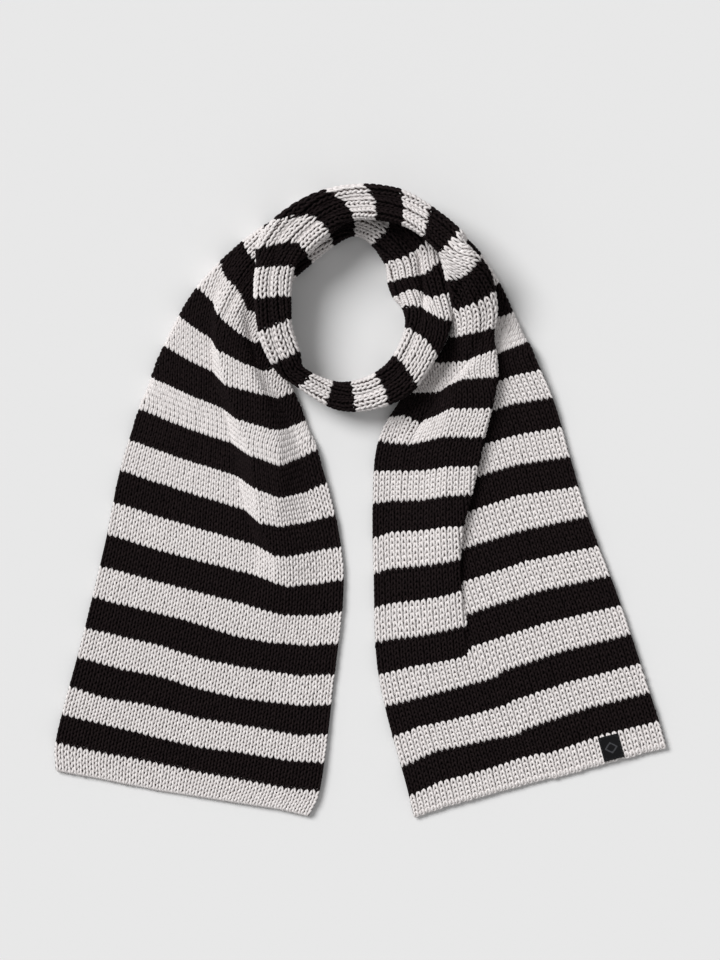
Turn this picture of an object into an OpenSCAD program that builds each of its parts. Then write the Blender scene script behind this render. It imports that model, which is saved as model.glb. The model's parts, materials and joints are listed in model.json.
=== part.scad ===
// Striped rib-knit scarf, laid flat and wrapped once round where the neck goes.
// The cloth is one long strip. It climbs the left tail, goes round the loop one and a half
// times as a soft rolled rope, and comes down the right tail. Stripe 0 is the cast-on hem and
// stripe 62 is the bind-off hem. Even stripes are light yarn and odd stripes are dark yarn.

/* [Fabric] */
// Thickness of the rib knit where it lies flat
fabric_t = 6; // [5:0.5:7]
// Depth of the cast-on and bind-off edges, along the scarf
edge_depth = 3; // [2:0.5:4]

/* [Loop] */
// Height of the rope where it goes round first, underneath
under_h = 28; // [24:1:28]
// Height of the rope where it comes round again, on top
over_h = 34; // [28:1:38]
// Clear gap between a tail section and the cloth that it hangs from
fold_gap = 0.4; // [0.3:0.1:0.8]

/* [Label] */
// Width of the sewn label, along the hem
label_w = 21; // [16:1:26]
// Depth of the sewn label, across the hem
label_d = 24; // [18:1:24]
// Thickness of the sewn label
label_t = 1.2; // [0.8:0.2:2]
// Length of one stitch round the label
stitch_l = 2.2; // [1.6:0.2:2.6]
// Width of the sewing thread
thread_w = 0.6; // [0.4:0.1:0.8]

/* [Hidden] */
stripes = 63;
stripe_l = 32;
light = [0.87, 0.85, 0.83];
dark = [0.05, 0.045, 0.05];
charcoal = [0.2, 0.2, 0.21];

// The strip's route. Each row holds: how many stripes along, the outer edge's x and y, the
// inner edge's x and y, the underside's height, and the thickness.
ROUTE = [
  [0, -332, -288, -56, -338, 0, fabric_t],
  [1, -333, -259, -44, -312, 0, fabric_t],
  [5, -301, -135, -28, -186, 0, fabric_t],
  [8, -277, -34, -18, -83, 0, fabric_t],
  [10, -263, 35, -27, -13, 0, fabric_t],
  [12, -242, 101, -47, 56, 0, 8],
  [14, -215, 169, -72, 117, 0, 12],
  [16, -179, 232, -97, 172, 0, 20],
  [18, -128, 283, -92, 238, 0, under_h - 2],
  [20.5, -68, 318, -48, 276, 0, under_h],
  [22.5, -2, 330, -6, 284, 0, under_h],
  [24, 52, 308, 18, 266, 0, under_h],
  [25.5, 83, 242, 30, 236, 1, under_h],
  [28, 80, 161, 42, 180, 15, under_h],
  [29.5, 46, 114, 22, 146, 15, under_h],
  [31.5, -22, 100, -22, 130, 8, under_h],
  [33.5, -95, 132, -65, 152, 19, over_h - 2],
  [35, -111, 183, -76, 187, 26, over_h],
  [37, -118, 254, -73, 250, 30, over_h],
  [38.5, -88, 316, -48, 275, 32, over_h],
  [40, -27, 340, -17, 302, 32, over_h],
  [42, 46, 336, 38, 300, 32, over_h],
  [44, 110, 294, 80, 272, 31, over_h],
  [46, 143, 218, 98, 208, 9, 26],
  [47.5, 157, 215, 84, 158, 0, 12],
  [49, 180, 175, 46, 118, 0, 12],
  [51, 207, 115, 16, 68, 0, 8],
  [53, 226, 51, 10, 0, 0, fabric_t],
  [55, 245, -13, 11, -76, 0, fabric_t],
  [58, 281, -109, 16, -185, 0, fabric_t],
  [62, 322, -234, 49, -316, 0, fabric_t],
  [63, 330, -261, 54, -338, 0, fabric_t]
];
last_row = len(ROUTE) - 1;

// First stripe after each fold line, where one tail section meets the next
left_end_fold = 5;
left_fold = 10;
right_fold = 53;
right_end_fold = 58;
FOLDS = [left_end_fold, left_fold, right_fold, right_end_fold];

// Rounded sections have this many sides, and each stripe this many slices
sides = 12;
slices = 3;

// A smooth curve through the route's rows, read at s stripes along
function slope(k) = (ROUTE[min(k + 1, last_row)] - ROUTE[max(k - 1, 0)])
  / (ROUTE[min(k + 1, last_row)][0] - ROUTE[max(k - 1, 0)][0]);
function row_before(s) = max([for (k = [0:last_row - 1]) if (ROUTE[k][0] <= s) k]);
function between(k, t, span) =
  ROUTE[k] * (2 * pow(t, 3) - 3 * pow(t, 2) + 1)
  + slope(k) * span * (pow(t, 3) - 2 * pow(t, 2) + t)
  + ROUTE[k + 1] * (3 * pow(t, 2) - 2 * pow(t, 3))
  + slope(k + 1) * span * (pow(t, 3) - pow(t, 2));
function at(s) =
  let (k = row_before(s), span = ROUTE[k + 1][0] - ROUTE[k][0])
  between(k, (s - ROUTE[k][0]) / span, span);

// The part stands with the middle of its footprint on the origin
EDGE_X = [for (i = [0:stripes * slices]) for (c = [1, 3]) at(i / slices)[c]];
EDGE_Y = [for (i = [0:stripes * slices]) for (c = [2, 4]) at(i / slices)[c]];
middle = [(min(EDGE_X) + max(EDGE_X)) / 2, (min(EDGE_Y) + max(EDGE_Y)) / 2];
function outer(s) = [at(s)[1], at(s)[2]] - middle;
function inner(s) = [at(s)[3], at(s)[4]] - middle;

// A fold leaves half its gap on each side
function is_fold(s) = len([for (f = FOLDS) if (f == s) f]) > 0;
function gap_at(s) = is_fold(s) ? fold_gap / 2 / stripe_l : 0;

// A flat length of cloth between two places along the route
module flat_length(from, to) {
  steps = [for (i = [0:slices]) from + (to - from) * i / slices];
  back = [for (i = [slices:-1:0]) steps[i]];
  linear_extrude(fabric_t)
    polygon(concat([for (s = back) outer(s)], [for (s = steps) inner(s)]));
}

// One rounded section across the cloth. It is squarer where the cloth is wide and thin.
function signed_power(v, p) = sign(v) * pow(abs(v), p);
function section(s) =
  let (row = at(s), a = outer(s), b = inner(s), mid = (a + b) / 2, half = (a - b) / 2)
  let (roundness = 0.3 + 0.6 * min(1, 1.5 * row[6] / norm(a - b)))
  [for (i = [0:sides - 1])
    let (turn = 360 * i / sides, across = signed_power(cos(turn), roundness))
    [
      mid[0] + half[0] * across,
      mid[1] + half[1] * across,
      max(0, row[5]) + row[6] / 2 * (1 + signed_power(sin(turn), roundness))
    ]];

// A rolled length of cloth between two places along the route
module rolled_length(from, to) {
  rings = [for (i = [0:slices]) section(from + (to - from) * i / slices)];
  wall = [
    for (r = [0:slices - 1]) for (i = [0:sides - 1]) each [
      [r * sides + i, r * sides + (i + 1) % sides, (r + 1) * sides + i],
      [r * sides + (i + 1) % sides, (r + 1) * sides + (i + 1) % sides, (r + 1) * sides + i]
    ]
  ];
  near = [for (i = [sides - 1:-1:0]) i];
  far = [for (i = [0:sides - 1]) slices * sides + i];
  polyhedron([for (ring = rings) each ring], concat(wall, [near, far]));
}

// Every second stripe from one stripe to another
module flat_stripes(first, last) {
  for (k = [first:2:last])
    flat_length(k + gap_at(k), k + 1 - gap_at(k + 1));
}
module rolled_stripes(first, last) {
  for (k = [first:2:last])
    rolled_length(k + gap_at(k), k + 1 - gap_at(k + 1));
}

// Hems and their edges
edge_share = edge_depth / stripe_l;
module cast_on_edge() { color(light) flat_length(0, edge_share); }
module left_hem() { color(light) flat_length(edge_share, 1); }
module right_hem() { color(light) flat_length(stripes - 1, stripes - edge_share); }
module bind_off_edge() { color(light) flat_length(stripes - edge_share, stripes); }

// Tails
module left_end_light() { color(light) flat_stripes(2, 4); }
module left_end_dark() { color(dark) flat_stripes(1, 3); }
module left_middle_light() { color(light) flat_stripes(6, 8); }
module left_middle_dark() { color(dark) flat_stripes(5, 9); }
module right_middle_light() { color(light) flat_stripes(54, 56); }
module right_middle_dark() { color(dark) flat_stripes(53, 57); }
module right_end_light() { color(light) flat_stripes(58, 60); }
module right_end_dark() { color(dark) flat_stripes(59, 61); }

// Shoulders, where the tails gather into the loop
module left_shoulder_light() { color(light) rolled_stripes(10, 16); }
module left_shoulder_dark() { color(dark) rolled_stripes(11, 17); }
module right_shoulder_light() { color(light) rolled_stripes(46, 52); }
module right_shoulder_dark() { color(dark) rolled_stripes(47, 51); }

// The loop round the neck
module back_under_light() { color(light) rolled_stripes(18, 24); }
module back_under_dark() { color(dark) rolled_stripes(19, 23); }
module right_limb_light() { color(light) rolled_stripes(26, 28); }
module right_limb_dark() { color(dark) rolled_stripes(25, 27); }
module front_light() { color(light) rolled_stripes(30, 32); }
module front_dark() { color(dark) rolled_stripes(29, 33); }
module left_limb_light() { color(light) rolled_stripes(34, 36); }
module left_limb_dark() { color(dark) rolled_stripes(35, 37); }
module back_over_light() { color(light) rolled_stripes(38, 44); }
module back_over_dark() { color(dark) rolled_stripes(39, 45); }

// Puts its children on the right hem, x along the hem and y across it
label_along = 0.19;
module on_hem() {
  near = outer(stripes - 0.5);
  far = inner(stripes - 0.5);
  spot = near + (far - near) * label_along;
  run = near - far;
  translate([spot[0], spot[1], fabric_t])
    rotate([0, 0, atan2(run[1], run[0])])
      children();
}

// The label is a plain woven patch
module label() {
  color(charcoal)
    on_hem()
      translate([-label_w / 2, -label_d / 2, 0])
        cube([label_w, label_d, label_t]);
}

// Running stitches round the label, on its face
stitch_pitch = 3.2;
stitch_inset = 1.4;
module stitch_row(length, offset_y) {
  count = floor((length - 2 * stitch_inset) / stitch_pitch);
  for (i = [0:count - 1])
    translate([(i - (count - 1) / 2) * stitch_pitch - stitch_l / 2, offset_y - thread_w / 2, label_t])
      cube([stitch_l, thread_w, thread_w]);
}
module label_stitching() {
  color(dark)
    on_hem()
      for (side = [-1, 1]) {
        stitch_row(label_w, side * (label_d / 2 - stitch_inset));
        rotate([0, 0, 90])
          stitch_row(label_d - 2 * stitch_inset, side * (label_w / 2 - stitch_inset));
      }
}

cast_on_edge();
left_hem();
left_end_light();
left_end_dark();
left_middle_light();
left_middle_dark();
left_shoulder_light();
left_shoulder_dark();
back_under_light();
back_under_dark();
right_limb_light();
right_limb_dark();
front_light();
front_dark();
left_limb_light();
left_limb_dark();
back_over_light();
back_over_dark();
right_shoulder_light();
right_shoulder_dark();
right_middle_light();
right_middle_dark();
right_end_light();
right_end_dark();
right_hem();
bind_off_edge();
label();
label_stitching();
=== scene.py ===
"""Looks for the striped knitted scarf: real yarn loops laid on the cloth's own surface.

The cloth is one strip. A place on it is (u, s): u runs across, from 0 at the outer edge to 1
at the inner edge, and s runs along, in stripes, from 0 at the cast-on edge to 63 at the
bind-off edge. The route below follows the one in the CAD source closely.
"""

import json
import math

import bpy
import numpy as np
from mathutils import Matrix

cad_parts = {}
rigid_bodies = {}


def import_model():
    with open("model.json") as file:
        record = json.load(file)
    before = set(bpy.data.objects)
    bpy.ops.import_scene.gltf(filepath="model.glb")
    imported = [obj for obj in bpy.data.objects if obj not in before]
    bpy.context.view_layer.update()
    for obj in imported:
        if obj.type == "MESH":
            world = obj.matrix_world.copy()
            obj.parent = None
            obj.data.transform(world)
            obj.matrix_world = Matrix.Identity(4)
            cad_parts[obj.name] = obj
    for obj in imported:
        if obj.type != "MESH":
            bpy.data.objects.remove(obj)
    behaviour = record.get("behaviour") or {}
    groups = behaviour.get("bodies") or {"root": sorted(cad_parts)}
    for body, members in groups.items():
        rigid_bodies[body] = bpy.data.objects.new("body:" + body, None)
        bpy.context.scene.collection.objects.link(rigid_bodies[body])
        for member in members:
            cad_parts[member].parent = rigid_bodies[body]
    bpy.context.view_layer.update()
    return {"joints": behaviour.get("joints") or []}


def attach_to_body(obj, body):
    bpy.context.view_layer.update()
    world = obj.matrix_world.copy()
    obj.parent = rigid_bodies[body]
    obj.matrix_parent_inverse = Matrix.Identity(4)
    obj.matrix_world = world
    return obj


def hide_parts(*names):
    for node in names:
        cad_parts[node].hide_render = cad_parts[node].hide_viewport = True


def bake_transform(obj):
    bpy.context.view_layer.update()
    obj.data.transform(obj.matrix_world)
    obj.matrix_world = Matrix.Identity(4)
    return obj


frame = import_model()
rng = np.random.default_rng(7)       # for the loops' unevenness
MM = 0.001

# ---------------------------------------------------------------- the cloth

STRIPES = 63
STRIPE_L = 32 * MM
HEM_L = 28 * MM
HEM_W = 287 * MM        # the cloth's width along the hem
WALES = 42              # knit columns across
WALE_W = 288 * MM / WALES
COURSES = 6             # rows of loops in a stripe
HEM_COURSES = 5         # rows of loops in a hem
YARN_R = 1.4 * MM       # radius of the yarn
CLOTH_HALF = 3 * MM     # from the cloth's middle to its face
CLOTH = 2 * CLOTH_HALF  # thickness of one layer
ROLL = (18, 44)         # the stripes between which the cloth is rolled up all round

# Stripes along, outer edge x and y, inner edge x and y, underside height, thickness: mm.
ROUTE = np.array([
    [0, -332, -288, -56, -338, 0, 6],
    [1, -333, -259, -44, -312, 0, 6],
    [5, -301, -135, -28, -186, 0, 6],
    [8, -277, -34, -18, -83, 0, 6],
    [10, -263, 35, -27, -13, 0, 6],
    [12, -242, 101, -47, 56, 0, 8],
    [14, -215, 169, -72, 117, 0, 12],
    [16, -179, 232, -97, 172, 0, 20],
    [18, -128, 283, -84, 226, 0, 26],
    [20, -82, 311, -55, 258, 0, 28],
    [22, -18, 329, -10, 288, 0, 28],
    [24, 58, 302, 19, 264, 0, 28],
    [25, 84, 264, 26, 243, 0, 28],
    [26, 95, 228, 33, 224, 1, 28],
    [27, 95, 192, 41, 206, 5, 28],
    [28, 82, 160, 43, 184, 14, 28],
    [29.5, 46, 114, 22, 146, 15, 28],
    [31.5, -22, 100, -22, 130, 8, 28],
    [33.5, -84, 136, -64, 147, 17, 31],
    [34, -97, 150, -66, 160, 21, 33],
    [35, -111, 183, -75, 188, 26, 34],
    [37, -114, 254, -73, 250, 30, 34],
    [38.5, -87, 312, -48, 275, 32, 34],
    [40, -27, 340, -17, 302, 32, 34],
    [42, 46, 336, 38, 300, 32, 34],
    [44, 106, 293, 80, 272, 31, 34],
    [45, 112, 285, 92, 238, 20, 31],
    [46, 127, 270, 98, 208, 9, 24],
    [47, 147, 240, 95, 178, 2, 18],
    [48, 163, 208, 77, 150, 0, 14],
    [49, 180, 175, 46, 118, 0, 12],
    [51, 207, 115, 16, 68, 0, 8],
    [53, 226, 51, 10, 0, 0, 6],
    [55, 245, -13, 11, -76, 0, 6],
    [58, 281, -109, 16, -185, 0, 6],
    [62, 322, -234, 49, -316, 0, 6],
    [63, 330, -261, 54, -338, 0, 6],
], float)
ROUTE[:, 1:] *= MM

# Stripes along, how much cloth there is across, and the width of a wale in sight: mm.
GATHER = np.array([
    [0, 281, 6.8], [5, 279, 6.7], [8, 266, 6.4], [10, 256, 6.15], [12, 244, 5.85],
    [14, 240, 5.7], [16, 250, 6.1], [19, 270, 6.8], [24, 276, 7.1], [38, 276, 7.1],
    [44, 270, 6.9], [46, 256, 6.3], [48, 244, 5.8], [50, 240, 5.7], [52, 242, 5.8],
    [54, 248, 6], [56, 258, 6.2], [58, 274, 6.6], [63, 287, 6.9],
], float)


def curve(rows, s):
    """The smooth curve through rows, whose first column is s, read at each s."""
    knots = rows[:, 0]
    k = np.clip(np.searchsorted(knots, s, side="right") - 1, 0, len(knots) - 2)
    each = np.arange(len(knots))
    before = np.maximum(each - 1, 0)
    after = np.minimum(each + 1, len(knots) - 1)
    slope = (rows[after] - rows[before]) / (knots[after] - knots[before])[:, None]
    span = (knots[k + 1] - knots[k])[:, None]
    t = ((s - knots[k]) / span[:, 0])[:, None]
    return (rows[k] * (2 * t**3 - 3 * t**2 + 1) + slope[k] * span * (t**3 - 2 * t**2 + t)
            + rows[k + 1] * (3 * t**2 - 2 * t**3) + slope[k + 1] * span * (t**3 - t**2))


def middle():
    """The middle of the footprint, which the CAD puts on the origin."""
    rows = curve(ROUTE, np.arange(STRIPES * 3 + 1) / 3)
    x, y = rows[:, [1, 3]], rows[:, [2, 4]]
    return np.array([x.min() + x.max(), y.min() + y.max()]) / 2


MIDDLE = middle()


def smoothstep(x, low, high):
    """0 below low, 1 above high, and a smooth rise between them."""
    t = np.clip((x - low) / (high - low), 0, 1)
    return t * t * (3 - 2 * t)


def soften(line, window):
    """A dense line with its corners rounded, and its ends kept."""
    n = max(3, int(window) | 1)
    kernel = np.hanning(n + 2)[1:-1]
    kernel /= kernel.sum()
    pad = n // 2
    head = 2 * line[0] - line[pad:0:-1]
    tail = 2 * line[-1] - line[-2:-pad - 2:-1]
    columns = np.vstack([head, line, tail]).T
    return np.stack([np.convolve(column, kernel, "valid") for column in columns], 1)


def resample(line, count):
    """count points along a line of (across, height, shift, weight, top), spaced by weight."""
    step = np.linalg.norm(np.diff(line[:, :2], axis=0), axis=1)
    step *= (line[:-1, 3] + line[1:, 3]) / 2
    along = np.concatenate([[0], np.cumsum(step)])
    at = np.linspace(0, along[-1], count)
    return np.stack([np.interp(at, along, column) for column in line.T], 1)


# The left tail's raised fold. Each row: stripes along, then five places across in mm from the
# outer edge, each with how many stripes the cloth there is shifted along, then the height.
# The places are one on the flat cloth, the foot and the top of the fold's side, its far ridge
# and its far foot.
LEFT_FOLD = np.array([
    [0, 50, 0, 116, -.05, 160, 0, 200, .03, 247, .09, 0],
    [1, 51, -.06, 117, -.06, 160, -.12, 200, -.1, 260, -.11, 0],
    [2, 45, -.07, 110, -.2, 155, -.26, 200, -.18, 255, -.14, 0],
    [3, 40, -.18, 100, -.16, 147, -.28, 191, -.24, 257, -.24, 0],
    [4, 50, -.13, 94, -.14, 139, -.31, 180, -.36, 248, -.23, 0],
    [5, 41, -.07, 85, -.12, 130, -.3, 180, -.32, 240, -.26, 0],
    [6, 40, -.07, 110, -.18, 160, -.38, 199, -.37, 240, -.25, 0],
    [7, 50, -.12, 150, -.32, 190, -.42, 205, -.45, 240, -.3, 2],
    [8, 67, -.22, 165, -.4, 190, -.52, 204, -.57, 238, -.28, 7],
    [9, 66, -.22, 164, -.48, 187, -.68, 200, -.62, 232, -.24, 11],
    [10, 69, -.24, 146, -.47, 163, -.77, 182, -.78, 214, -.42, 14],
    [11, 71, -.28, 128, -.45, 149, -.74, 174, -.87, 200, -.5, 16],
    [12, 60, -.28, 111, -.43, 132, -.71, 163, -.87, 182, -.45, 17],
    [13, 55, -.24, 90, -.37, 107, -.61, 147, -.69, 161, -.42, 17],
    [14, 33, -.17, 63, -.26, 82, -.6, 118, -.52, 135, -.5, 16],
    [15, 22, -.12, 46, -.2, 58, -.5, 94, -.62, 110, -.62, 13],
    [16, 14, -.03, 27, -.08, 40, -.37, 70, -.52, 84, -.55, 10],
    [17, 8, -.1, 16, -.2, 30, -.23, 45, -.32, 58, -.6, 5],
    [18, 6, -.15, 12, -.22, 24, -.2, 36, -.2, 48, -.1, 2],
], float)

# The right tail's pleat. Each row: stripes along, then the flap's edge and three more places
# across it, as above, then the shift of the cloth beside the flap, and the flap's lap in mm.
RIGHT_PLEAT = np.array([
    [44, 3, 0, 12, 0, 20, 0, 27, .05, -.05, 0],
    [45, 18, 1.45, 29, 1.02, 35, .85, 44, .4, -.2, 10],
    [46, 34, 1.43, 46, 1.15, 56, .8, 65, .25, -.15, 11],
    [47, 46, 1.27, 59, .95, 69, .65, 79, .2, -.15, 12],
    [48, 44, .87, 60, .9, 76, .88, 92, .4, -.15, 15],
    [49, 51, .72, 81, .38, 112, .58, 130, .28, -.05, 26],
    [50, 69, .87, 107, .47, 141, .81, 158, .15, -.1, 34],
    [51, 88, .78, 125, .46, 161, .48, 175, .32, -.12, 26],
    [52, 104, .61, 130, .42, 161, .35, 193, .13, -.08, 18],
    [53, 119, .42, 142, .29, 165, .27, 200, .05, -.15, 13],
    [54, 137, .29, 150, .2, 175, .13, 210, -.05, -.2, 10],
    [55, 150, .25, 165, .22, 190, .13, 220, -.02, -.1, 7],
    [56, 160, .19, 175, .2, 200, .14, 232, -.02, -.15, 5],
    [57, 167, .25, 185, .25, 212, .2, 240, .08, -.15, 3],
    [58, 175, .18, 190, .19, 215, .12, 240, .03, -.12, 1],
    [59, 150, .1, 180, .09, 200, .07, 240, .05, -.1, 0],
    [60, 150, .04, 180, .04, 205, .02, 249, -.08, -.1, 0],
    [61, 148, .08, 175, 0, 205, -.09, 240, -.17, -.1, 0],
    [62, 130, -.12, 157, -.16, 202, -.13, 246, -.2, -.12, 0],
    [63, 130, -.1, 157, -.1, 202, -.1, 246, -.1, -.05, 0],
], float)

# How the stripes' lines bow in the wrapped part. Each row: stripes along, then the shift at
# the outer edge, a third and two thirds across, and at the inner edge.
RING_BOW = np.array([
    [18, -.1, -.2, -.2, 0], [20, 0, 0, 0, 0], [22, .1, .2, .2, .1], [24, .5, .6, .6, .4],
    [25, .05, .3, .25, .25], [26, 0, .18, -.25, .05], [27, -.15, -.15, -.5, -.4],
    [28, 0, -.2, -.28, -.3], [29, -.03, -.12, -.2, -.2], [30, 0, -.13, -.17, -.12],
    [31, 0, 0, 0, 0], [33, -.05, -.08, -.1, -.14], [35, 0, .08, .18, .3],
    [36, .03, .04, .05, .02], [37, -.05, .03, .05, .15], [38, -.6, -.3, .15, 0],
    [39, -.78, -.1, .17, .16], [40, -.34, 0, .18, .3], [41, -.29, .05, .11, .12],
    [42, -.13, 0, .1, .15], [43, -.17, -.09, .08, .18], [44, -.15, -.1, -.04, .17],
], float)

# Soft grooves that run along the wrapped part. Each row: stripes along, then the place
# across from 0 to 1 and the depth in mm of one groove, then of a second one.
GROOVES = np.array([
    [8, .3, 0, .8, 0], [10, .3, 0, .85, 0], [16, .45, 2, .8, 2], [20, .4, 4, .75, 3],
    [24, .38, 8, .8, 2], [26, .47, 8, .85, 1], [27, .6, 5, .85, 1], [28.5, .7, 3, .9, 0],
    [31, .45, 4, .8, 2], [34, .4, 4, .75, 3], [37, .45, 4.5, .75, 3], [38.5, .3, 5, .62, 5],
    [40, .4, 5, .7, 4], [42, .35, 4, .65, 5], [44, .45, 4, .75, 4], [46, .65, 2, .85, 1],
    [48, .62, 3, .85, 0], [50, .8, 4, .9, 0], [51.5, .8, 2, .9, 0], [53, .8, 0, .9, 0],
], float)

DENSE = 560              # points across a section before they are shared out to the wales
GROOVE_W = 5 * MM        # about half of a groove's width


def table_row(table, s):
    """The row of a table at s, without its first column."""
    s = np.clip(s, table[0, 0], table[-1, 0])
    return list(curve(table, np.array([s]))[0, 1:])


def top_line(s, width):
    """The cloth's upper line at s, from the outer edge inwards: across, height, shift."""
    if s > ROLL[1]:
        edge, q0, a1, q1, a2, q2, a3, q3, beside, lap = table_row(RIGHT_PLEAT, s)
        edge, a1, a2, a3, lap = [v * MM for v in (edge, a1, a2, a3, lap)]
        rise = CLOTH * min(1, lap / (9 * MM))    # a narrow lap lies flatter
        step = 4 * MM                    # the least room between two places
        reach = min(3 * MM, lap / 4)     # what rounding the fold takes off its edge
        # The cloth sinks 4 mm beside the limb that it leans against.
        dip = 4 * MM * smoothstep(s, 44.5, 46.5) * (1 - smoothstep(s, 47.5, 50))
        return [(0, 0, 0), (edge * 0.5, 0, beside), (edge - step, 0, beside * 0.3),
                (edge + lap, 0, 0.1 * q0), (edge + lap, rise, 0.9 * q0),
                (edge - reach, rise, q0), (edge - reach, 2 * rise, q0),
                (edge * 0.7 + a1 * 0.3, 2 * rise, q0 * 0.7 + q1 * 0.3), (a1, 2 * rise, q1),
                (a2, rise, q2), (max(a3, a2 + step), -dip, q3), (width, -dip, 0)]
    if s < ROLL[0]:
        a1, q1, a2, q2, a3, q3, a4, q4, a5, q5, high = table_row(LEFT_FOLD, s)
        a1, a2, a3, a4, a5, high = [v * MM for v in (a1, a2, a3, a4, a5, high)]
        return [(0, 0, 0), (a1, 0, q1), (a2, 0, q2), (a3, high, q3), (a4, high * 0.9, q4),
                (a5, 0, q5), (width, 0, 0)]
    q0, q1, q2, q3 = table_row(RING_BOW, s)
    return [(0, 0, q0), (width / 3, 0, q1), (width * 2 / 3, 0, q2), (width, 0, q3)]


def tuck(side, half, high, edge, spare):
    """The spare cloth under one edge: down, in along the table, up inside, out and down again.
    Cloth that finds no room on that path is left out."""
    inside = 3.5 * MM                # how far the two sides stay from the middle
    lid = max(0, high - 9 * MM)      # the folded cloth stays below the top layer
    back = half * 0.55
    path = [(half, edge[1]), (half, 0), (inside, 0), (inside, lid), (back, lid), (back, 5 * MM)]
    points, left = [], spare
    for a, b in zip(path, path[1:]):
        length = math.dist(a, b)
        if length < 1e-6:
            continue
        share = min(1, left / length)
        points.append((side * (a[0] + (b[0] - a[0]) * share), a[1] + (b[1] - a[1]) * share,
                       edge[2], 1, 0))
        left -= length * share
        if left <= 0:
            break
    return points


def section(s, row, count):
    """count points of the cloth's middle line across the strip at s: across from the middle,
    height and shift. The spare cloth is tucked under both edges and folded up inside."""
    width = math.hypot(row[1] - row[3], row[2] - row[4])
    high = max(row[6], CLOTH) - CLOTH        # of the top layer above the lowest one
    cloth, wale = [v * MM for v in table_row(GATHER, s)]
    top = [(a - width / 2, high + z, q, 1, 1) for a, z, q in top_line(s, width)]
    top_l = sum(math.dist(a[:2], b[:2]) for a, b in zip(top, top[1:]))
    # Half of the spare cloth goes under each edge. Up to 3 mm of it is let go, and the flat
    # tails have nothing tucked under.
    extra = max(0, cloth - top_l)
    spare = extra**2 / (extra + 3 * MM) / 2 * smoothstep(high, 1 * MM, 5 * MM)
    half = width / 2 - CLOTH_HALF * smoothstep(spare, 0, 6 * MM)
    top[0] = (-half, *top[0][1:])
    top[-1] = (half, *top[-1][1:])
    under_outer = tuck(-1, half, high, top[0], spare)
    under_inner = tuck(1, half, high, top[-1], spare)
    dense = resample(np.array(under_outer[::-1] + top + under_inner), DENSE)
    step = np.linalg.norm(np.diff(dense[:, :2], axis=0), axis=1).mean()
    roundness = 24 * MM if ROLL[0] < s < ROLL[1] else 9 * MM
    dense = soften(dense, np.clip(high * 0.9, CLOTH, roundness) / step)
    at = (dense[:, 0] + width / 2) / width
    place_1, depth_1, place_2, depth_2 = table_row(GROOVES, s)
    for place, depth in ((place_1, depth_1), (place_2, depth_2)):
        away = (at - place) * width / GROOVE_W
        dense[:, 1] -= depth * MM * smoothstep(dense[:, 4], 0.6, 1) * np.exp(-away**2)
    # The wales in sight have their own width, and the ones out of sight share the rest.
    step = np.linalg.norm(np.diff(dense[:, :2], axis=0), axis=1)
    seen = dense[:, 4]
    seen_l = (seen[:-1] * step).sum()
    hidden_l = step.sum() - seen_l
    shown = min(seen_l / wale, 0.97 * WALES)
    hidden = (WALES - shown) / max(hidden_l, 1e-6)
    split = smoothstep(hidden_l, 8 * MM, 40 * MM)
    dense[:, 3] = (1 - split) * WALES / step.sum() + split * (
        seen * shown / seen_l + (1 - seen) * hidden)
    line = resample(dense, count)
    line[:, 1] += max(0, row[5]) + CLOTH_HALF
    return line[:, :3]


ROWS_PER_STRIPE = 12
ACROSS = 4 * WALES + 1   # points in a row
PAST = 12                # rows that run on past each end
BLUR = 1.3               # rows
LINES_S = np.arange(-PAST, STRIPES * ROWS_PER_STRIPE + PAST + 1) / ROWS_PER_STRIPE


def unit(vectors):
    """vectors scaled to a length of one."""
    return vectors / np.maximum(np.linalg.norm(vectors, axis=-1, keepdims=True), 1e-9)


def blur_along(values, sigma):
    """values smoothed along the strip, over sigma rows."""
    reach = int(3 * sigma)
    kernel = np.exp(-0.5 * (np.arange(-reach, reach + 1) / sigma) ** 2)
    kernel /= kernel.sum()
    head = 2 * values[:1] - values[reach:0:-1]
    tail = 2 * values[-1:] - values[-2:-reach - 2:-1]
    full = np.concatenate([head, values, tail])
    return sum(w * full[i:i + len(values)] for i, w in enumerate(kernel))


def cloth_surface():
    """The cloth's middle surface on the grid of LINES_S by ACROSS: points, normals and the
    width of a wale."""
    s_in = np.clip(LINES_S, 0, STRIPES)
    rows = curve(ROUTE, s_in)
    shape = np.array([section(s, row, ACROSS) for s, row in zip(s_in, rows)])
    shape = blur_along(shape, BLUR)
    # How far each edge runs in one stripe, for the shifts along the strip.
    low, high = np.clip(s_in - 0.5, 0, STRIPES), np.clip(s_in + 0.5, 0, STRIPES)
    stride = (curve(ROUTE, high) - curve(ROUTE, low)) / (high - low)[:, None]
    outer, inner = rows[:, None, 1:3] - MIDDLE, rows[:, None, 3:5] - MIDDLE
    width = np.linalg.norm(inner - outer, axis=-1, keepdims=True)
    share = np.clip(shape[:, :, :1] / width + 0.5, 0, 1)
    onward = stride[:, None, 1:3] * (1 - share) + stride[:, None, 3:5] * share
    inward = (inner - outer) / width
    onward = onward - inward * (onward * inward).sum(-1, keepdims=True)
    xy = (outer + inner) / 2 + inward * shape[:, :, :1] + onward * shape[:, :, 2:]
    points = np.concatenate([xy, shape[:, :, 1:2]], -1)
    for end, near, inside in ((slice(0, PAST), PAST, PAST + 1),
                              (slice(-PAST, None), -PAST - 1, -PAST - 2)):
        way = points[near] - points[inside]
        count = np.abs(LINES_S[end] - LINES_S[near]) * ROWS_PER_STRIPE
        points[end] = points[near] + way * count[:, None, None]
    points[..., 2] += ripple(points)
    across = np.gradient(points, axis=1)
    along = np.gradient(points, axis=0)
    normals = unit(np.cross(across, along))
    pitch = np.linalg.norm(across, axis=-1, keepdims=True) * (ACROSS - 1) / WALES
    return np.concatenate([points, normals, pitch], -1)


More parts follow.
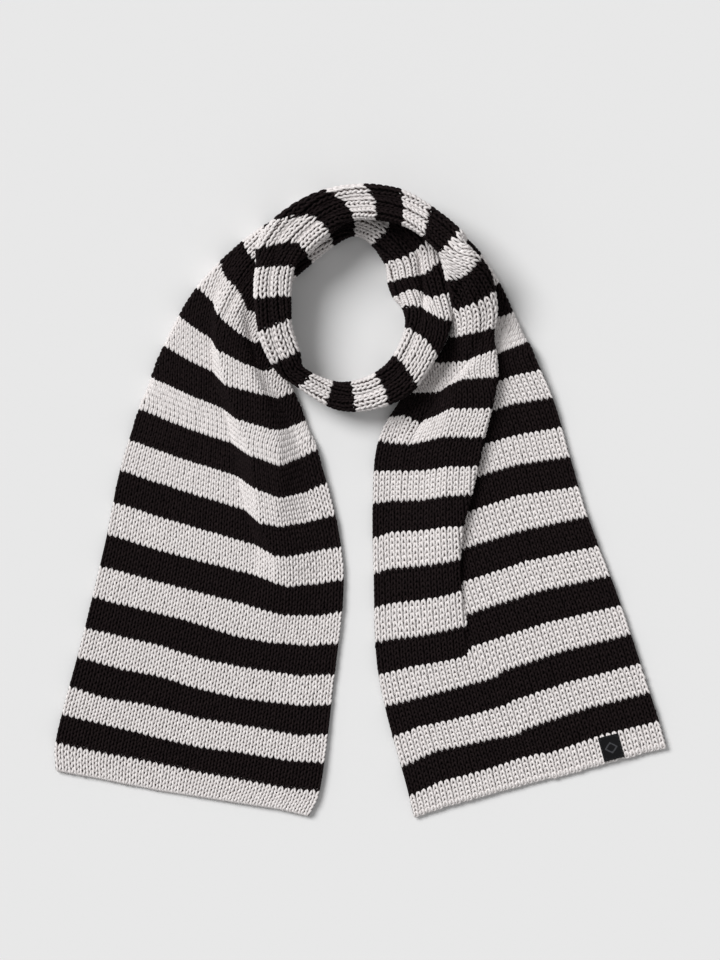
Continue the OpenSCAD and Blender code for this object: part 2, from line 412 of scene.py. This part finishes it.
def ripple(points):
    """Slow unevenness of cloth lying on a table, up to about 2 mm and upward only."""
    x, y = points[..., 0], points[..., 1]
    wave = np.sin(x * 31 + y * 9 + 1.0) + np.sin(x * 17 - y * 23 + 2.0) + np.sin(y * 37 + x * 5)
    return 0.36 * MM * (wave + 3)


SURFACE = cloth_surface()       # x, y, z, the normal and the width of a wale


def read_surface(u, s):
    """The surface's point, normal and wale width at each (u, s)."""
    a = np.clip((s - LINES_S[0]) * ROWS_PER_STRIPE, 0, len(LINES_S) - 1)
    b = np.clip(u, 0, 1) * (ACROSS - 1)
    i = np.minimum(a.astype(int), len(LINES_S) - 2)
    j = np.minimum(b.astype(int), ACROSS - 2)
    fa, fb = (a - i)[..., None], (b - j)[..., None]
    spot = ((SURFACE[i, j] * (1 - fa) + SURFACE[i + 1, j] * fa) * (1 - fb)
            + (SURFACE[i, j + 1] * (1 - fa) + SURFACE[i + 1, j + 1] * fa) * fb)
    return spot[..., :3], unit(spot[..., 3:6]), spot[..., 6]


def on_cloth(u, s, lift):
    """The points lift above the cloth's middle at (u, s), and the normals there."""
    point, normal, _ = read_surface(u, s)
    return point + normal * np.asarray(lift)[..., None], normal


# ---------------------------------------------------------------- mesh making


def new_mesh(name, points, quads, ends=(), bake_map=None):
    """A smooth mesh object from arrays: quads, then end faces of any one size."""
    me = bpy.data.meshes.new(name)
    loops = np.concatenate([quads.ravel()] + [e.ravel() for e in ends])
    sizes = np.concatenate([np.full(len(quads), 4)] + [np.full(len(e), e.shape[1]) for e in ends])
    starts = np.concatenate([[0], np.cumsum(sizes)[:-1]])
    me.vertices.add(len(points))
    me.vertices.foreach_set("co", points.astype(np.float32).ravel())
    me.loops.add(len(loops))
    me.loops.foreach_set("vertex_index", loops.astype(np.int32))
    me.polygons.add(len(sizes))
    me.polygons.foreach_set("loop_start", starts.astype(np.int32))
    me.polygons.foreach_set("loop_total", sizes.astype(np.int32))
    me.polygons.foreach_set("use_smooth", np.ones(len(sizes), bool))
    if bake_map is not None:
        layer = me.uv_layers.new(name="OFBake")
        layer.data.foreach_set("uv", bake_map.astype(np.float32).ravel())
    me.update(calc_edges=True)
    ob = bpy.data.objects.new(name, me)
    bpy.context.scene.collection.objects.link(ob)
    return ob


def tubes(name, paths, normals, radius, sides=5):
    """Closed tubes along paths [tube, point, xyz]. normals keep each ring from twisting."""
    count, length = paths.shape[:2]
    way = unit(np.gradient(paths, axis=1))
    side = unit(np.cross(way, normals))
    up = np.cross(side, way)
    turn = (np.arange(sides) * 2 * np.pi / sides)[:, None]
    ring = side[:, :, None] * np.cos(turn) + up[:, :, None] * np.sin(turn)
    points = paths[:, :, None] + ring * radius
    first = (np.arange(count)[:, None, None] * length + np.arange(length - 1)[:, None]) * sides
    i = np.arange(sides)
    j = (i + 1) % sides
    quads = np.stack([first + i, first + j, first + sides + j, first + sides + i], -1)
    start = np.arange(count)[:, None] * length * sides + i[::-1]
    stop = np.arange(count)[:, None] * length * sides + (length - 1) * sides + i
    # The bake map has a row for each tube, with a margin of 2% on both sides.
    t = np.arange(length) / (length - 1)
    row = np.arange(count)[:, None, None] + 0.02
    a, b, low, high = np.broadcast_arrays(
        t[:-1, None], t[1:, None],
        (row + 0.96 * i / sides) / count, (row + 0.96 * (i + 1) / sides) / count)
    bake_map = np.stack([a, low, a, high, b, high, b, low], -1).reshape(-1, 2)
    caps = np.zeros((2 * count * sides, 2))
    return new_mesh(name, points.reshape(-1, 3), quads.reshape(-1, 4), [start, stop],
                    np.vstack([bake_map, caps]))


def slab(name, top, low):
    """A thin closed mesh between two grids of points. The top's faces come first."""
    rows, cols = top.shape[:2]
    index = np.arange(rows * cols).reshape(rows, cols)
    face = np.stack([index[:-1, :-1], index[:-1, 1:], index[1:, 1:], index[1:, :-1]], -1)
    face = face.reshape(-1, 4)
    under = face[:, ::-1] + rows * cols
    rim = np.concatenate([index[0, :-1], index[:-1, -1], index[-1, :0:-1], index[:0:-1, 0]])
    after = np.roll(rim, -1)
    wall = np.stack([rim, rim + rows * cols, after + rows * cols, after], -1)
    points = np.concatenate([top, low]).reshape(-1, 3)
    return new_mesh(name, points, np.concatenate([face, under, wall]))


def second_material(piece, mat, faces):
    """Gives the piece a second material on those of its first faces where faces is true."""
    piece.data.materials.append(mat)
    index = np.zeros(len(piece.data.polygons), np.int32)
    index[:faces.size] = faces.ravel()
    piece.data.polygons.foreach_set("material_index", index)


# ---------------------------------------------------------------- the knit

# One front loop, then one back loop: across in wales from the loop's own middle, along in
# courses from its foot, and above the cloth's middle in mm.
FRONT = np.array([
    [-0.10, -0.06, -0.7], [-0.15, 0.18, 1.0], [-0.22, 0.50, 1.9], [-0.31, 0.85, 1.8],
    [-0.33, 1.12, 1.0], [-0.17, 1.36, -0.2], [0.17, 1.36, -0.2],
    [0.33, 1.12, 1.0], [0.31, 0.85, 1.8], [0.22, 0.50, 1.9], [0.15, 0.18, 1.0],
    [0.10, -0.06, -0.7]])
BACK = np.array([
    [-0.20, 0.25, -1.5], [-0.28, 0.95, -1.4], [0, 1.38, -0.2], [0.28, 0.95, -1.4],
    [0.20, 0.25, -1.5]])

LOOP_HALF = 0.33         # half the width of a front loop, in wales
YARN_ROOM = 1.15 * MM    # room kept for the yarn on both sides of a front loop
FRONT_UP = 0.4           # how much higher in mm a tight rib's front loops stand
BACK_DOWN = 0.9          # and how much deeper its back loops lie
UNEVEN = (0.03, 0.05, 0.06)      # of the loops, across, along and in height


def wale_u(p):
    """Where the place p, in wales from the outer edge, is across the strip."""
    return (0.25 + p * (WALES - 0.5) / WALES) / WALES


def course_paths(first, last):
    """Yarn paths of every course of the stripes first, first + 2 and so on up to last."""
    starts = []
    for k in range(first, last + 1, 2):
        n = HEM_COURSES if k in (0, STRIPES - 1) else COURSES
        starts += [(k + c / n, 1 / n) for c in range(n)]
    foot, tall = np.array(starts).T[:, :, None]
    loop = np.concatenate([FRONT, BACK])
    used = WALES * len(loop) - len(BACK)     # no back loop follows the last front loop
    shape = np.tile(loop, (WALES, 1))[:used]
    front = np.tile(np.arange(len(loop)) < len(FRONT), WALES)[:used]
    p = np.arange(WALES).repeat(len(loop))[:used] + np.where(front, 0.5, 1)
    loose = rng.normal(0, 1, (3, len(starts), WALES)).repeat(len(loop), 2)[:, :, :used]
    s = foot + (shape[:, 1] + UNEVEN[1] * loose[1]) * tall
    pitch = read_surface(wale_u(p), s)[2]
    # Where the rib is drawn together the loops are narrower and its grooves are deeper, and
    # in the wrapped part they are so everywhere.
    wrapped = smoothstep(s, 14, 19) * (1 - smoothstep(s, 44, 48))
    room = np.clip((0.5 * pitch - YARN_ROOM) / (LOOP_HALF * pitch), 0.55, 1)
    room = room * (1 - 0.07 * wrapped)
    tight = np.clip(WALE_W / pitch - 1, 0, 0.6) + wrapped
    u = wale_u(p + shape[:, 0] * np.where(front, room, 1) + UNEVEN[0] * loose[0])
    lift = shape[:, 2] * (1 + UNEVEN[2] * loose[2])
    lift = lift + tight * np.where(front, FRONT_UP, -BACK_DOWN)
    return on_cloth(u, s, lift * MM)


def knit(name, first, last):
    return tubes(name, *course_paths(first, last), YARN_R)


def edge_row(name, s_mid):
    """The firm edge row: two yarns wound round each other along the edge, once a wale."""
    wide, tall = 0.9 * MM, 0.95 * MM
    p = np.arange(0.15, WALES - 0.1, 1 / 8)
    turn = 2 * np.pi * p + np.array([[0], [np.pi]])
    s = s_mid + wide * np.cos(turn) / STRIPE_L
    return tubes(name, *on_cloth(wale_u(p), s, tall * np.sin(turn)), YARN_R, 6)


WEB_ROWS = 3             # rows of the web in a stripe
WEB_HALF = 0.3 * MM      # half its thickness
WEB_DROP = 0.5 * MM      # how far it lies below the cloth's middle


def ground(name, first, last):
    """The inner web of the rib between two places along, a thin closed sheet. It is
    corrugated, and deeper where the rib is drawn together. That makes up part of the area of
    the cloth that finds no room in the roll."""
    s = np.arange(first * WEB_ROWS, last * WEB_ROWS + 1)[:, None] / WEB_ROWS
    p = np.arange(WALES * 4 + 1) / 4
    drawn = WALE_W / (curve(GATHER, s[:, 0])[:, 2:] * MM)
    deep = (0.5 + 1.5 * np.sqrt(np.maximum(drawn - 1, 0))) * MM
    fold = -WEB_DROP - deep * np.cos(2 * np.pi * p)
    top = on_cloth(wale_u(p), s, fold + WEB_HALF)[0]
    low = on_cloth(wale_u(p), s, fold - WEB_HALF)[0]
    return slab(name, top, low)


# ---------------------------------------------------------------- materials


def material(name, base, build):
    """A material whose nodes are made by build. Its plain colour is base."""
    mat = bpy.data.materials.new(name)
    mat.use_nodes = True
    nt = mat.node_tree
    shader = nt.nodes["Principled BSDF"]
    shader.inputs["Base Color"].default_value = (*base, 1)
    build(nt, shader)
    return mat


def node(nt, kind, **values):
    """A new node. Each value goes to the input of that name, or else to the setting."""
    made = nt.nodes.new(kind)
    for key, value in values.items():
        if key in made.inputs:
            made.inputs[key].default_value = value
        else:
            setattr(made, key, value)
    return made


def set_inputs(shader, values):
    for key, value in values.items():
        shader.inputs[key].default_value = value


def colour_between(nt, shader, share, deep, pale):
    """Base colour from deep to pale, as share goes from 0 to 1."""
    mix = node(nt, "ShaderNodeMix", data_type="RGBA")
    factor, colour_a, colour_b = mix.inputs[0], mix.inputs[6], mix.inputs[7]
    colour_a.default_value = (*deep, 1)
    colour_b.default_value = (*pale, 1)
    nt.links.new(share, factor)
    nt.links.new(mix.outputs[2], shader.inputs["Base Color"])


def bump_from(nt, shader, height, strength, distance):
    bump = node(nt, "ShaderNodeBump", Strength=strength, Distance=distance)
    nt.links.new(height, bump.inputs["Height"])
    nt.links.new(bump.outputs["Normal"], shader.inputs["Normal"])


def yarn_material(name, deep, pale, sheen):
    """Spun wool with fine fibres and an uneven dye."""
    def build(nt, shader):
        place = node(nt, "ShaderNodeTexCoord").outputs["Object"]
        patches = node(nt, "ShaderNodeTexNoise", Scale=420.0, Detail=3.0, Roughness=0.6)
        nt.links.new(place, patches.inputs["Vector"])
        ramp = node(nt, "ShaderNodeMapRange", **{"From Min": 0.3, "From Max": 0.7})
        nt.links.new(patches.outputs["Fac"], ramp.inputs["Value"])
        colour_between(nt, shader, ramp.outputs["Result"], deep, pale)
        fibres = node(nt, "ShaderNodeTexNoise", Scale=2600.0, Detail=2.0)
        nt.links.new(place, fibres.inputs["Vector"])
        bump_from(nt, shader, fibres.outputs["Fac"], 0.5, 0.4 * MM)
        set_inputs(shader, {"Roughness": 0.9, "Sheen Weight": sheen, "Sheen Roughness": 0.5,
                            "Specular IOR Level": 0.06})
    return material(name, pale, build)


def tape_material(name, deep, pale):
    """Close woven tape."""
    def build(nt, shader):
        place = node(nt, "ShaderNodeTexCoord").outputs["Object"]
        weave = node(nt, "ShaderNodeTexWave", Scale=1500.0, Distortion=0.6,
                     bands_direction="DIAGONAL")
        nt.links.new(place, weave.inputs["Vector"])
        colour_between(nt, shader, weave.outputs["Fac"], deep, pale)
        bump_from(nt, shader, weave.outputs["Fac"], 0.4, 0.2 * MM)
        set_inputs(shader, {"Roughness": 0.8, "Specular IOR Level": 0.12})
    return material(name, pale, build)


LIGHT_YARN = yarn_material("light_yarn_wool", (0.66, 0.62, 0.61), (0.90, 0.865, 0.855), 0.1)
DARK_YARN = yarn_material("dark_yarn_wool", (0.0045, 0.003, 0.0032), (0.018, 0.012, 0.0125), 0)
# The web's two colours are painted shade. The web is the same yarn as the stripes, but it is
# coloured far darker to stand for the shade in the gaps between the loops.
LIGHT_WEB_PAINTED_SHADE = yarn_material("light_web_painted_shade", (0.06, 0.045, 0.042), (0.11, 0.085, 0.08), 0)
DARK_WEB_PAINTED_SHADE = yarn_material("dark_web_painted_shade", (0.001, 0.0008, 0.0008), (0.002, 0.0015, 0.0015), 0)
LABEL_CLOTH = tape_material("label_cloth_weave", (0.005, 0.005, 0.0055), (0.009, 0.009, 0.010))
LABEL_MARK = tape_material("label_cloth_mark", (0.045, 0.046, 0.050), (0.070, 0.071, 0.078))
THREAD = tape_material("label_thread_twist", (0.020, 0.020, 0.022), (0.035, 0.035, 0.038))

# ---------------------------------------------------------------- the pieces

# The two bodies whose fold a piece spans, or the one that it rides on.
LEFT_UPPER = ("neck_loop", "left_tail_upper")
LEFT_END = ("left_tail_upper", "left_tail_end")
RIGHT_UPPER = ("neck_loop", "right_tail_upper")
RIGHT_END = ("right_tail_upper", "right_tail_end")
LOOP = ("neck_loop",)
LABEL_BODY = ("right_tail_end",)

# Each stretch: its name, its first and last stripe, and its bodies.
STRETCHES = [
    ("left_end", 1, 4, LEFT_END),
    ("left_middle", 5, 9, LEFT_UPPER),
    ("left_shoulder", 10, 17, LOOP),
    ("back_under", 18, 24, LOOP),
    ("right_limb", 25, 28, LOOP),
    ("front", 29, 33, LOOP),
    ("left_limb", 34, 37, LOOP),
    ("back_over", 38, 45, LOOP),
    ("right_shoulder", 46, 52, LOOP),
    ("right_middle", 53, 57, RIGHT_UPPER),
    ("right_end", 58, 61, RIGHT_END),
]


def joint_between(a, b):
    """The frame's joint that hangs body b on body a."""
    return next(j for j in frame["joints"] if j["parent"] == a and j["child"] == b)


def attach(piece, bodies):
    """Rides a piece on its body. For a piece between two bodies it finds their joint and only
    applies the piece's transform to its mesh.
    """
    if len(bodies) == 1:
        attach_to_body(piece, bodies[0])
        return
    joint = joint_between(*bodies)
    away = np.cross(joint["axis"], (0, 0, 1))
    away *= -1 if away[1] > 0 else 1
    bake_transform(piece)


def dress(piece, mat):
    """Gives a piece its material."""
    piece.data.materials.append(mat)


def add(piece, mat, bodies, replaced):
    """Gives a piece its material and its bodies, and hides the CAD node that it stands for."""
    dress(piece, mat)
    attach(piece, bodies)
    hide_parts(replaced)


for name, first, last, bodies in STRETCHES:
    for shade, mat, odd in (("light", LIGHT_YARN, 0), ("dark", DARK_YARN, 1)):
        start = first + (first + odd) % 2
        stripes = knit(f"{name}_{shade}_knit", start, last)
        add(stripes, mat, bodies, f"{name}_{shade}")

for name, stripe, bodies in (("left_hem", 0, LEFT_END), ("right_hem", STRIPES - 1, RIGHT_END)):
    hem = knit(f"{name}_knit", stripe, stripe)
    add(hem, LIGHT_YARN, bodies, name)

EDGE_IN = 0.045          # how far in the edge rows lie, in stripes
cast_on = edge_row("cast_on_row", EDGE_IN)
add(cast_on, LIGHT_YARN, LEFT_END, "cast_on_edge")
bind_off = edge_row("bind_off_row", STRIPES - EDGE_IN)
add(bind_off, LIGHT_YARN, RIGHT_END, "bind_off_edge")

# ---------------------------------------------------------------- the label

LABEL_U, LABEL_S = 0.208, 62.56      # its middle on the cloth
LABEL_W, LABEL_L, LABEL_T = 22.5 * MM, 26 * MM, 1.2 * MM
LABEL_LIFT = 2.9 * MM    # its underside above the cloth's middle
THREAD_R = 0.3 * MM


def on_label(x, y, lift):
    """Points of the label's own plane, x across the tail and y along it, on the cloth."""
    return on_cloth(LABEL_U + x / HEM_W, LABEL_S + y / HEM_L, LABEL_LIFT + lift)


def label_patch():
    """A woven patch with a raised plain border and a small raised diamond, and which of its
    faces are raised."""
    columns, rows = 42, 50
    raised = 0.18 * MM
    border_in, border_half = 2.7 * MM, 0.35 * MM
    diamond_reach, diamond_half = 5.6 * MM, 1 * MM
    gx, gy = np.meshgrid(np.linspace(-0.5, 0.5, columns + 1) * LABEL_W,
                         np.linspace(-0.5, 0.5, rows + 1) * LABEL_L)
    rim = np.minimum(LABEL_W / 2 - np.abs(gx), LABEL_L / 2 - np.abs(gy))
    rolled = 0.4 * MM * (1 - np.clip(rim / (0.8 * MM), 0, 1)) ** 2
    border = np.abs(rim - border_in) < border_half
    diamond = np.abs(np.abs(gx) / 1.1 + np.abs(gy) - diamond_reach) < diamond_half
    mark = (border | diamond).astype(int)
    top = on_label(gx, gy, LABEL_T - rolled + raised * mark)[0]
    low = on_label(gx, gy, np.zeros(gx.shape))[0]
    corners = mark[:-1, :-1] + mark[:-1, 1:] + mark[1:, 1:] + mark[1:, :-1]
    return slab("label_patch", top, low), corners >= 3


def label_thread():
    """Running stitches close to the label's edge, each a short bent length of thread."""
    inset, stitch, gap = 1.4 * MM, 2.2 * MM, 3.2 * MM
    hx, hy = LABEL_W / 2 - inset, LABEL_L / 2 - inset
    t = np.linspace(-0.5, 0.5, 7)
    lift = LABEL_T + 0.28 * MM - 0.5 * MM * (2 * t) ** 4
    stitches = []
    for hold, reach, turned in ((hy, hx, False), (-hy, hx, False), (hx, hy, True),
                                (-hx, hy, True)):
        count = int(2 * reach / gap)
        for k in range(count):
            run = (k - (count - 1) / 2) * gap + t * stitch
            fixed = np.full_like(run, hold)
            x, y = (fixed, run) if turned else (run, fixed)
            stitches.append(on_label(x, y, lift))
    paths, normals = np.array(stitches).swapaxes(0, 1)
    return tubes("label_thread", paths, normals, THREAD_R, 8)


label, marked = label_patch()
add(label, LABEL_CLOTH, LABEL_BODY, "label")
second_material(label, LABEL_MARK, marked)
add(label_thread(), THREAD, LABEL_BODY, "label_stitching")

# ---------------------------------------------------------------- the web

# Each sheet: its name, where it starts and stops in stripes, its length laid flat, its bodies
# and how it is held.
SHEETS = [
    ("left_end_web", 0, 5, 4 * STRIPE_L + HEM_L, LEFT_END, "laid"),
    ("left_middle_web", 5, 10, 5 * STRIPE_L, LEFT_UPPER, "laid"),
    ("loop_web", 10, 53, 43 * STRIPE_L, LOOP, "gathered"),
    ("right_middle_web", 53, 58, 5 * STRIPE_L, RIGHT_UPPER, "laid"),
    ("right_end_web", 58, 63, 4 * STRIPE_L + HEM_L, RIGHT_END, "laid"),
]
for name, first, last, length, bodies, held in SHEETS:
    web = ground(name, first, last)
    # Each sheet gets painted shade, the light stripes' and the dark stripes' in turn.
    dress(web, LIGHT_WEB_PAINTED_SHADE)
    dark = np.arange(first * WEB_ROWS, last * WEB_ROWS) // WEB_ROWS % 2
    each_side = np.repeat(dark, WALES * 4)
    second_material(web, DARK_WEB_PAINTED_SHADE, np.tile(each_side, 2))
    attach(web, bodies)

# ---------------------------------------------------------------- stage

FLOOR_HALF = 6
FLOOR_Z = -0.4 * MM
floor = bpy.data.objects.new("table", bpy.data.meshes.new("table"))
corners = [(x * FLOOR_HALF, y * FLOOR_HALF, 0) for x, y in ((-1, -1), (1, -1), (1, 1), (-1, 1))]
floor.data.from_pydata(corners, [], [(0, 1, 2, 3)])
floor.location.z = FLOOR_Z
bpy.context.scene.collection.objects.link(floor)


def paper(nt, shader):
    set_inputs(shader, {"Roughness": 0.9, "Specular IOR Level": 0.1})


floor.data.materials.append(material("table_paper", (0.807, 0.807, 0.807), paper))

# Soft light from all round, and a broad key light from the upper left.
SKY_STRENGTH = 0.37
SUN_STRENGTH = 2.79
world = bpy.data.worlds.new("studio")
bpy.context.scene.world = world
world.use_nodes = True
background = world.node_tree.nodes["Background"]
background.inputs["Color"].default_value = (1, 1, 1, 1)
background.inputs["Strength"].default_value = SKY_STRENGTH

sun = bpy.data.lights.new("key", "SUN")
sun.energy = SUN_STRENGTH
sun.angle = math.radians(30)
key = bpy.data.objects.new("key", sun)
key.rotation_euler = (math.radians(-26), math.radians(-38), 0)
bpy.context.scene.collection.objects.link(key)

# The camera looks straight down from far off.
VIEW_TALL = 1.0368         # how much of the table the picture covers from top to bottom
VIEW_MIDDLE = (-0.0003, 0.0226)
camera = bpy.data.cameras.new("camera")
camera.lens = 300
camera.sensor_width = 36
camera.clip_end = 50
view = bpy.data.objects.new("camera", camera)
view.location = (*VIEW_MIDDLE, VIEW_TALL * camera.lens / camera.sensor_width)
bpy.context.scene.collection.objects.link(view)
bpy.context.scene.camera = view
bpy.context.scene.view_settings.view_transform = "Standard"
